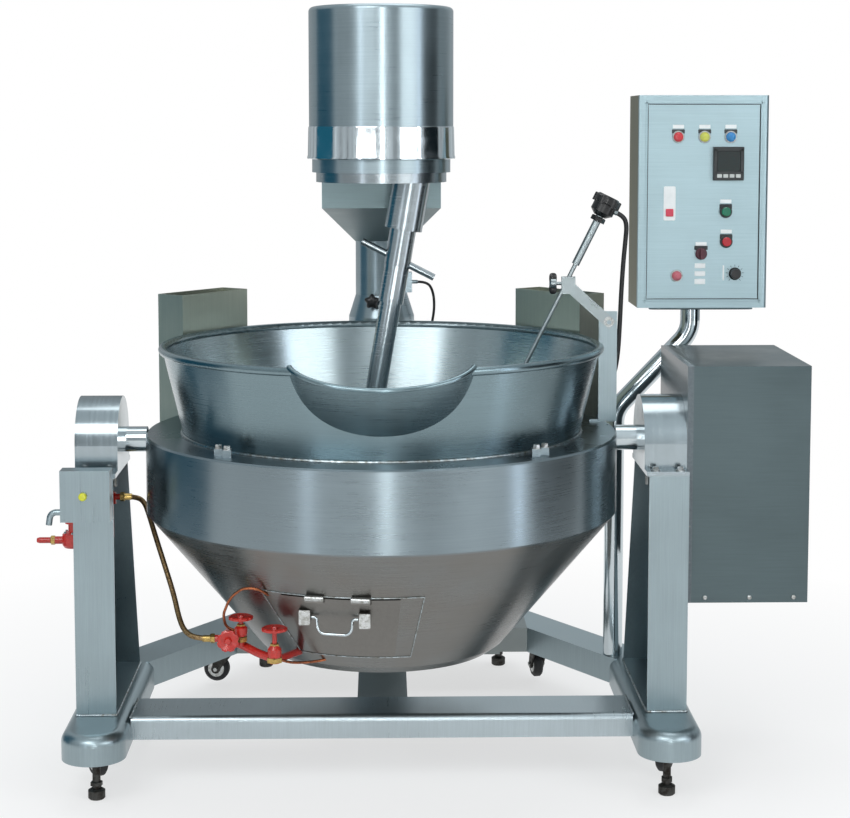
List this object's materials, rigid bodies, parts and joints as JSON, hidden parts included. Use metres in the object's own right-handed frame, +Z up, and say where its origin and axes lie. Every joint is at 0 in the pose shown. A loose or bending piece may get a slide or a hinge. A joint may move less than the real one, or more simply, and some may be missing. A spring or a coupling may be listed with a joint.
{
  "type": "tilting gas kettle mixer",
  "caption": "Tilting jacketed gas kettle with an oblique planetary stirrer on a column, a side control panel and a castered base frame.",
  "frame": {"origin": "centre of the machine's footprint on the floor, under the middle of its bounding box", "axes": "-Y to the operator and the pouring lip, +X to the operator's right, +Z up"},
  "size_m": [1.7733, 1.4413, 1.76],
  "materials": {
    "brushed_stainless": "brushed",
    "polished_stainless": "polished",
    "dark_stainless": "satin",
    "valve_red": "gloss",
    "brass_fitting": "satin",
    "copper_tube": "satin",
    "hose_rubber": "matte",
    "black_rubber": "matte",
    "black_plastic": "matte",
    "green_plastic": "gloss",
    "red_plastic": "gloss",
    "lamp_plastic": "gloss",
    "yellow_plastic": "gloss",
    "scraper_plastic": "matte",
    "panel_steel": "satin",
    "tray_plastic": "matte"
  },
  "bodies": {
    "base": {"right_rail": "brushed_stainless", "left_rail": "brushed_stainless", "front_crossbar": "brushed_stainless", "centre_beam": "brushed_stainless", "rear_crossmember": "brushed_stainless", "right_post": "brushed_stainless", "left_post": "brushed_stainless", "bearing_housings": "polished_stainless", "levelling_feet": "dark_stainless", "tilt_drive": "dark_stainless", "drive_cover": "dark_stainless", "stand_pipe": "polished_stainless", "panel_box": "panel_steel", "electrical_tray": "tray_plastic", "ignition_box": "brushed_stainless", "gas_regulator": "valve_red", "gas_hose": "hose_rubber", "lower_mast": "brushed_stainless", "head_cable": "black_rubber"},
    "kettle": {"pot": "polished_stainless", "jacket": "brushed_stainless", "trunnions": "polished_stainless", "flues": "dark_stainless", "burner_ring": "dark_stainless", "gas_manifold": "brass_fitting", "pilot_tubes": "copper_tube", "probe_bracket": "brushed_stainless", "probe_cable": "black_rubber"},
    "hatch": {"hatch_door": "dark_stainless"},
    "hatch_bail": {"hatch_handle": "polished_stainless"},
    "head": {"upper_column": "brushed_stainless", "head_arm": "brushed_stainless", "head_housing": "brushed_stainless"},
    "carrier": {"planet_carrier": "polished_stainless"},
    "stirrer": {"stirrer_shaft": "brushed_stainless", "locking_bar": "polished_stainless", "stirrer_bow": "brushed_stainless", "scraper_blades": "scraper_plastic"},
    "door": {"panel_door": "panel_steel", "panel_lamps": "lamp_plastic", "temperature_controller": "black_plastic"},
    "start_button_body": {"start_button": "green_plastic"},
    "stop_button_body": {"stop_button": "red_plastic"},
    "selector_switch_body": {"selector_switch": "black_plastic"},
    "speed_knob_body": {"speed_knob": "black_plastic"},
    "ignition_button_body": {"ignition_button": "yellow_plastic"},
    "regulator_knob_body": {"regulator_knob": "valve_red"},
    "main_gas_wheel_body": {"main_gas_wheel": "valve_red"},
    "pilot_gas_wheel_body": {"pilot_gas_wheel": "valve_red"},
    "burner_gas_wheel_body": {"burner_gas_wheel": "valve_red"},
    "mast_lock_knob_body": {"mast_lock_knob": "black_plastic"},
    "probe_arm_body": {"probe_arm": "polished_stainless"},
    "front_left_swivel_body": {"front_left_caster_fork": "black_plastic"},
    "front_left_wheel_body": {"front_left_wheel": "black_rubber"},
    "front_right_swivel_body": {"front_right_caster_fork": "black_plastic"},
    "front_right_wheel_body": {"front_right_wheel": "black_rubber"},
    "rear_left_swivel_body": {"rear_left_caster_fork": "black_plastic"},
    "rear_left_wheel_body": {"rear_left_wheel": "black_rubber"},
    "rear_right_swivel_body": {"rear_right_caster_fork": "black_plastic"},
    "rear_right_wheel_body": {"rear_right_wheel": "black_rubber"}
  },
  "joints": [
    {"name": "bowl_tilt", "type": "hinge", "parent": "base", "child": "kettle", "pos_m": [-0.083, -0.163, 0.778], "axis": [1, 0, 0], "range_deg": [0, 80], "deforming": ["gas_hose"]},
    {"name": "head_tilt", "type": "hinge", "parent": "base", "child": "head", "pos_m": [-0.083, 0.607, 1.052], "axis": [-1, 0, 0], "range_deg": [0, 84], "deforming": ["head_cable"]},
    {"name": "planet_revolve", "type": "hinge", "parent": "head", "child": "carrier", "pos_m": [-0.083, -0.163, 1.38], "axis": [0, 0, 1], "continuous": true},
    {"name": "stirrer_spin", "type": "hinge", "parent": "carrier", "child": "stirrer", "pos_m": [-0.083, -0.163, 0.97], "axis": [0.1685, 0, 0.9857], "continuous": true},
    {"name": "hatch_swing", "type": "hinge", "parent": "kettle", "child": "hatch", "pos_m": [-0.17659, -0.6033, 0.509], "axis": [-0.9781, 0.2079, 0], "range_deg": [0, 75]},
    {"name": "hatch_bail_swing", "type": "hinge", "parent": "hatch", "child": "hatch_bail", "pos_m": [-0.2345, -0.5455, 0.458], "axis": [-0.9661, 0.2583, 0], "range_deg": [0, 80]},
    {"name": "probe_swing", "type": "hinge", "parent": "kettle", "child": "probe_arm_body", "pos_m": [0.449, -0.0663, 1.037], "axis": [0, 1, 0], "range_deg": [0, 45], "deforming": ["probe_cable"]},
    {"name": "panel_door_swing", "type": "hinge", "parent": "base", "child": "door", "pos_m": [0.833, 0.046, 1.313], "axis": [0, 0, 1], "range_deg": [0, 110]},
    {"name": "start_press", "type": "slide", "parent": "door", "child": "start_button_body", "axis": [0, 1, 0], "range_m": [0, 0.005], "stiffness_N_per_m": 300},
    {"name": "stop_press", "type": "slide", "parent": "door", "child": "stop_button_body", "axis": [0, 1, 0], "range_m": [0, 0.005], "stiffness_N_per_m": 300},
    {"name": "selector_turn", "type": "hinge", "parent": "door", "child": "selector_switch_body", "pos_m": [0.683, 0.037, 1.189], "axis": [0, -1, 0], "range_deg": [-45, 45]},
    {"name": "speed_turn", "type": "hinge", "parent": "door", "child": "speed_knob_body", "pos_m": [0.765, 0.037, 1.141], "axis": [0, -1, 0], "range_deg": [0, 270]},
    {"name": "ignition_press", "type": "slide", "parent": "base", "child": "ignition_button_body", "axis": [0, 1, 0], "range_m": [0, 0.006], "stiffness_N_per_m": 300},
    {"name": "regulator_turn", "type": "hinge", "parent": "base", "child": "regulator_knob_body", "pos_m": [-0.8003, -0.123, 0.574], "axis": [0, 0, 1], "range_deg": [0, 720]},
    {"name": "main_gas_turn", "type": "hinge", "parent": "kettle", "child": "main_gas_wheel_body", "pos_m": [-0.415, -0.481, 0.391], "axis": [0, -1, 0], "range_deg": [0, 720]},
    {"name": "pilot_gas_turn", "type": "hinge", "parent": "kettle", "child": "pilot_gas_wheel_body", "pos_m": [-0.389, -0.463, 0.428], "axis": [0, 0, 1], "range_deg": [0, 720]},
    {"name": "burner_gas_turn", "type": "hinge", "parent": "kettle", "child": "burner_gas_wheel_body", "pos_m": [-0.314, -0.508, 0.414], "axis": [0, 0, 1], "range_deg": [0, 720]},
    {"name": "mast_lock_turn", "type": "hinge", "parent": "base", "child": "mast_lock_knob_body", "pos_m": [-0.108, 0.4454, 1.04], "axis": [0, -1, 0], "range_deg": [0, 720]},
    {"name": "front_left_swivel", "type": "hinge", "parent": "base", "child": "front_left_swivel_body", "pos_m": [-0.721, -0.268, 0.098], "axis": [0, 0, 1], "continuous": true},
    {"name": "front_left_roll", "type": "hinge", "parent": "front_left_swivel_body", "child": "front_left_wheel_body", "pos_m": [-0.73477, -0.24834, 0.047], "axis": [0.8192, 0.5736, 0], "continuous": true},
    {"name": "front_right_swivel", "type": "hinge", "parent": "base", "child": "front_right_swivel_body", "pos_m": [0.555, -0.268, 0.098], "axis": [0, 0, 1], "continuous": true},
    {"name": "front_right_roll", "type": "hinge", "parent": "front_right_swivel_body", "child": "front_right_wheel_body", "pos_m": [0.567, -0.24722, 0.047], "axis": [0.866, -0.5, 0], "continuous": true},
    {"name": "rear_left_swivel", "type": "hinge", "parent": "base", "child": "rear_left_swivel_body", "pos_m": [-0.503, 0.505, 0.098], "axis": [0, 0, 1], "continuous": true},
    {"name": "rear_left_roll", "type": "hinge", "parent": "rear_left_swivel_body", "child": "rear_left_wheel_body", "pos_m": [-0.52664, 0.50917, 0.047], "axis": [0.1736, 0.9848, 0], "continuous": true},
    {"name": "rear_right_swivel", "type": "hinge", "parent": "base", "child": "rear_right_swivel_body", "pos_m": [0.337, 0.505, 0.098], "axis": [0, 0, 1], "continuous": true},
    {"name": "rear_right_roll", "type": "hinge", "parent": "rear_right_swivel_body", "child": "rear_right_wheel_body", "pos_m": [0.33283, 0.52864, 0.047], "axis": [0.9848, 0.1736, 0], "continuous": true}
  ],
  "couplings": [
    {"joint": "head_tilt", "follows": "bowl_tilt", "ratio": 1.05},
    {"joint": "stirrer_spin", "follows": "planet_revolve", "ratio": -2.5}
  ]
}
